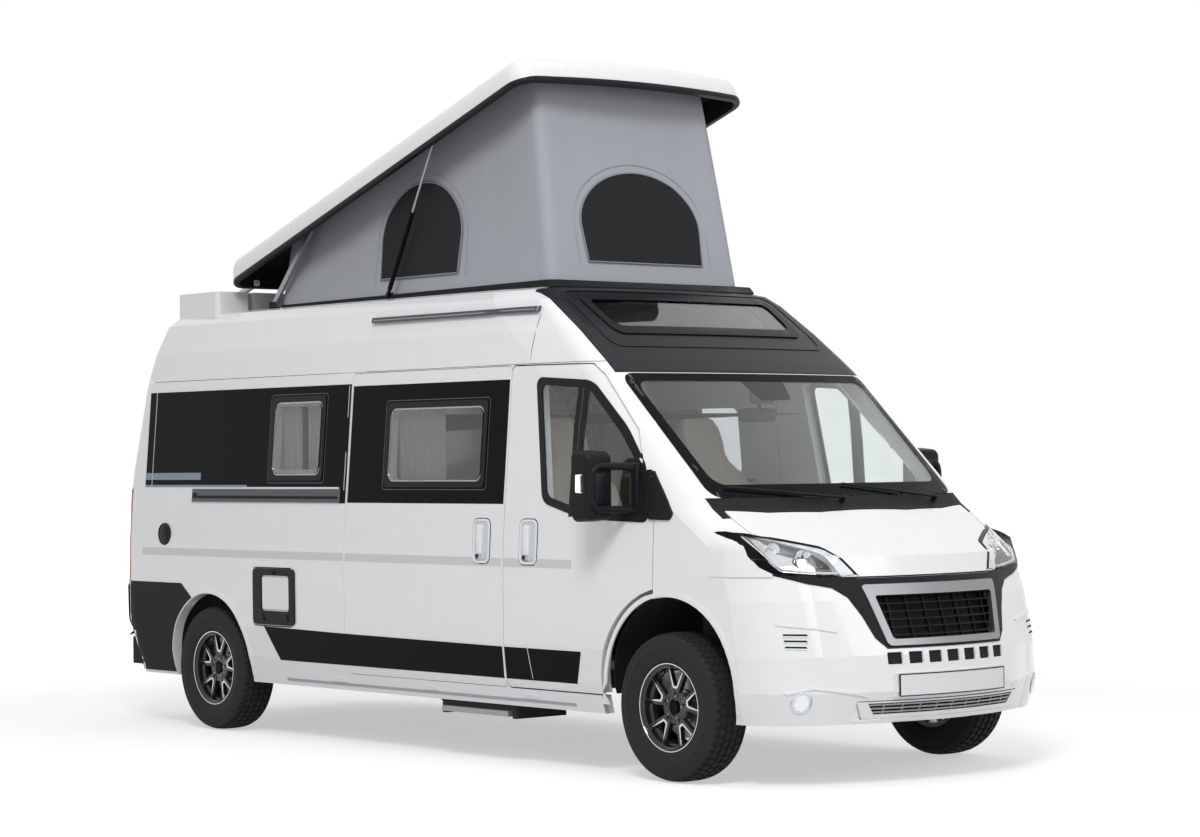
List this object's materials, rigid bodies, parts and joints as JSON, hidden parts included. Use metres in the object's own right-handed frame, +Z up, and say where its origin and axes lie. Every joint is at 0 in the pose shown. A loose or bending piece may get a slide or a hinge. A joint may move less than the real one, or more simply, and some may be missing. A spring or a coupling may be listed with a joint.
{
  "type": "camper van",
  "caption": "Panel van fitted out as a camper, with a pop-up sleeping roof raised over its cloth tent, doors, steering and road wheels that move.",
  "frame": {"origin": "centre of the bounding box on the ground, under the wheels", "axes": "+Z up, front of the vehicle towards -Y, its right-hand side towards -X"},
  "size_m": [2.494, 6.0118, 3.6594],
  "materials": {
    "white_paint": "gloss",
    "dark_paint": "satin",
    "black_plastic": "matte",
    "grey_steel": "satin",
    "alloy": "satin",
    "cast_grey": "matte",
    "tyre": "matte",
    "clear_glass": "gloss",
    "lamp_glass": "gloss",
    "red_lamp": "gloss",
    "white_plastic": "gloss",
    "seat_leather": "matte",
    "tent_cloth": "matte",
    "light_wood": "satin",
    "cushion_cloth": "matte",
    "mirror_black": "satin",
    "wheel_black": "gloss"
  },
  "bodies": {
    "root": {"bench_seat": "cushion_cloth", "cab_seats": "seat_leather", "cabinets": "light_wood", "chassis": "dark_paint", "cowl": "black_plastic", "dashboard": "black_plastic", "engine_block": "cast_grey", "floor_pan": "grey_steel", "front_bumper": "white_paint", "front_glass": "clear_glass", "front_lamps": "lamp_glass", "front_subframe": "cast_grey", "front_wings": "white_paint", "grille": "alloy", "rear_axle": "cast_grey", "rear_bed": "cushion_cloth", "rear_bumper": "white_paint", "rear_roof_box": "white_plastic", "roof_frame": "black_plastic", "roof_panel": "white_paint", "roof_visor": "dark_paint", "side_wall_left": "white_paint", "side_wall_right": "white_paint", "side_windows": "clear_glass", "sliding_door": "white_paint", "step_housing": "grey_steel", "tail_lamps": "red_lamp", "tent": "tent_cloth", "wheel_houses": "black_plastic"},
    "door_right": {"front_door_right": "white_paint", "door_glass_right": "clear_glass", "mirror_right": "mirror_black"},
    "door_left": {"front_door_left": "white_paint", "door_glass_left": "clear_glass", "mirror_left": "mirror_black"},
    "rear_door_right": {"rear_door_right": "white_paint", "rear_glass_right": "clear_glass"},
    "rear_door_left": {"rear_door_left": "white_paint", "rear_glass_left": "clear_glass"},
    "bonnet": {"bonnet": "white_paint"},
    "service_hatch": {"service_hatch": "white_paint"},
    "door_step": {"door_step": "grey_steel"},
    "pop_roof": {"pop_roof": "white_plastic"},
    "strut_cylinder_right": {"strut_cylinder_right": "dark_paint"},
    "strut_rod_right": {"strut_rod_right": "grey_steel"},
    "roof_arm_right": {"roof_arm_right": "alloy"},
    "knuckle_right": {"knuckle_right": "cast_grey"},
    "strut_cylinder_left": {"strut_cylinder_left": "dark_paint"},
    "strut_rod_left": {"strut_rod_left": "grey_steel"},
    "roof_arm_left": {"roof_arm_left": "alloy"},
    "knuckle_left": {"knuckle_left": "cast_grey"},
    "steering_wheel": {"steering_wheel": "black_plastic"},
    "wheel_front_right": {"tyre_front_right": "tyre", "rim_front_right": "wheel_black"},
    "wheel_front_left": {"tyre_front_left": "tyre", "rim_front_left": "wheel_black"},
    "wheel_rear_right": {"tyre_rear_right": "tyre", "rim_rear_right": "wheel_black"},
    "wheel_rear_left": {"tyre_rear_left": "tyre", "rim_rear_left": "wheel_black"}
  },
  "joints": [
    {"name": "door_right_hinge", "type": "hinge", "parent": "root", "child": "door_right", "pos_m": [-1.028, -1.945, 1], "axis": [0.03, 0, 0.9995], "range_deg": [0, 68]},
    {"name": "door_left_hinge", "type": "hinge", "parent": "root", "child": "door_left", "pos_m": [1.028, -1.945, 1], "axis": [-0.03, 0, 0.9995], "range_deg": [-68, 0]},
    {"name": "rear_door_right_hinge", "type": "hinge", "parent": "root", "child": "rear_door_right", "pos_m": [-0.915, 2.929, 1], "axis": [0, -0.05, 0.9987], "range_deg": [0, 170]},
    {"name": "rear_door_left_hinge", "type": "hinge", "parent": "root", "child": "rear_door_left", "pos_m": [0.915, 2.929, 1], "axis": [0, -0.05, 0.9987], "range_deg": [-170, 0]},
    {"name": "bonnet_hinge", "type": "hinge", "parent": "root", "child": "bonnet", "pos_m": [0, -2.257, 1.345], "axis": [1, 0, 0], "range_deg": [-55, 0]},
    {"name": "service_hatch_hinge", "type": "hinge", "parent": "root", "child": "service_hatch", "pos_m": [-1.031, 1.301, 0.638], "axis": [0, 1, 0], "range_deg": [-100, 0]},
    {"name": "step_slide", "type": "slide", "parent": "root", "child": "door_step", "axis": [-1, 0, 0], "range_m": [0, 0.24]},
    {"name": "pop_roof_hinge", "type": "hinge", "parent": "root", "child": "pop_roof", "pos_m": [0, 2.451, 2.48], "axis": [1, 0, 0], "range_deg": [0, 18.5], "deforming": ["tent"]},
    {"name": "strut_right_pivot", "type": "hinge", "parent": "root", "child": "strut_cylinder_right", "pos_m": [-0.74, 0.557, 2.475], "axis": [1, 0, 0], "range_deg": [0, 58.62]},
    {"name": "strut_right_slide", "type": "slide", "parent": "strut_cylinder_right", "child": "strut_rod_right", "axis": [0, -0.4725, 0.8814], "range_m": [-0.3528, 0]},
    {"name": "arm_right_pivot", "type": "hinge", "parent": "root", "child": "roof_arm_right", "pos_m": [-0.703, 1.734, 2.48], "axis": [1, 0, 0], "range_deg": [0, 44.3]},
    {"name": "strut_left_pivot", "type": "hinge", "parent": "root", "child": "strut_cylinder_left", "pos_m": [0.74, 0.557, 2.475], "axis": [1, 0, 0], "range_deg": [0, 58.62]},
    {"name": "strut_left_slide", "type": "slide", "parent": "strut_cylinder_left", "child": "strut_rod_left", "axis": [0, -0.4725, 0.8814], "range_m": [-0.3528, 0]},
    {"name": "arm_left_pivot", "type": "hinge", "parent": "root", "child": "roof_arm_left", "pos_m": [0.703, 1.734, 2.48], "axis": [1, 0, 0], "range_deg": [0, 44.3]},
    {"name": "steering_column_turn", "type": "hinge", "parent": "root", "child": "steering_wheel", "pos_m": [0.48, -1.444, 1.25], "axis": [0, 0.6691, 0.7431], "range_deg": [-480, 480]},
    {"name": "steer_right", "type": "hinge", "parent": "root", "child": "knuckle_right", "pos_m": [-0.8, -2.051, 0.36], "axis": [0, 0, 1], "range_deg": [-30, 30]},
    {"name": "wheel_front_right_roll", "type": "hinge", "parent": "knuckle_right", "child": "wheel_front_right", "pos_m": [-0.905, -2.051, 0.36], "axis": [1, 0, 0], "continuous": true},
    {"name": "wheel_rear_right_roll", "type": "hinge", "parent": "root", "child": "wheel_rear_right", "pos_m": [-0.895, 1.984, 0.36], "axis": [1, 0, 0], "continuous": true},
    {"name": "steer_left", "type": "hinge", "parent": "root", "child": "knuckle_left", "pos_m": [0.8, -2.051, 0.36], "axis": [0, 0, 1], "range_deg": [-30, 30]},
    {"name": "wheel_front_left_roll", "type": "hinge", "parent": "knuckle_left", "child": "wheel_front_left", "pos_m": [0.905, -2.051, 0.36], "axis": [1, 0, 0], "continuous": true},
    {"name": "wheel_rear_left_roll", "type": "hinge", "parent": "root", "child": "wheel_rear_left", "pos_m": [0.895, 1.984, 0.36], "axis": [1, 0, 0], "continuous": true}
  ],
  "couplings": [
    {"joint": "strut_right_pivot", "follows": "pop_roof_hinge", "ratio": 3.1526},
    {"joint": "strut_right_slide", "follows": "pop_roof_hinge", "m_per_rad": -1.0864},
    {"joint": "arm_right_pivot", "follows": "pop_roof_hinge", "ratio": 2.3789},
    {"joint": "strut_left_pivot", "follows": "pop_roof_hinge", "ratio": 3.1526},
    {"joint": "strut_left_slide", "follows": "pop_roof_hinge", "m_per_rad": -1.0864},
    {"joint": "arm_left_pivot", "follows": "pop_roof_hinge", "ratio": 2.3789},
    {"joint": "steer_right", "follows": "steering_column_turn", "ratio": 0.0625},
    {"joint": "steer_left", "follows": "steering_column_turn", "ratio": 0.0625}
  ]
}
